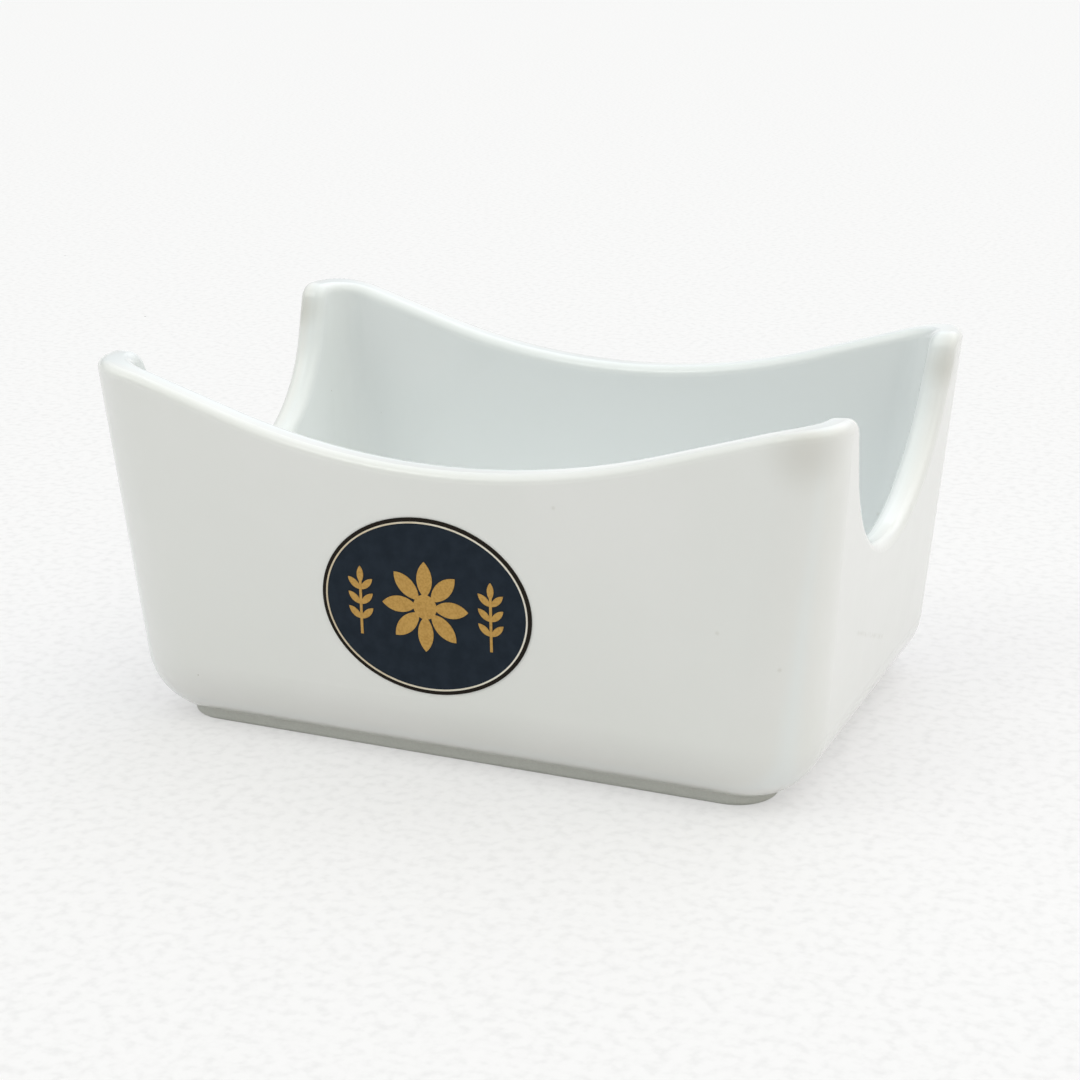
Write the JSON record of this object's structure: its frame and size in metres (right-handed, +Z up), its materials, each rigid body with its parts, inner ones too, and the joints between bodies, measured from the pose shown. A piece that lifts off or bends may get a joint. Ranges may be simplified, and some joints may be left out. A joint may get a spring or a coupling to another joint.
{
  "type": "sugar packet holder",
  "caption": "Open ceramic caddy for sugar packets: tapered rectangular body, dipped long rims, deep U notches in the end walls, raised corner posts, low foot, oval transfer on the front.",
  "frame": {"origin": "on the standing surface, under the middle of the holder", "axes": "+X along the length, +Y towards the back wall (the transfer is on the front wall, at -Y), +Z up"},
  "size_m": [0.1198, 0.0802, 0.0586],
  "materials": {
    "white_glaze": "glossy white glaze, bare on the foot ring",
    "navy_enamel": "dark blue on-glaze transfer, glossy",
    "gold_enamel": "flat ochre-gold on-glaze transfer, satin"
  },
  "bodies": {
    "root": {"holder_body": "white_glaze", "decal_ground": "navy_enamel", "decal_border_line": "gold_enamel", "decal_rosette": "gold_enamel", "decal_sprigs": "gold_enamel"}
  },
  "joints": []
}
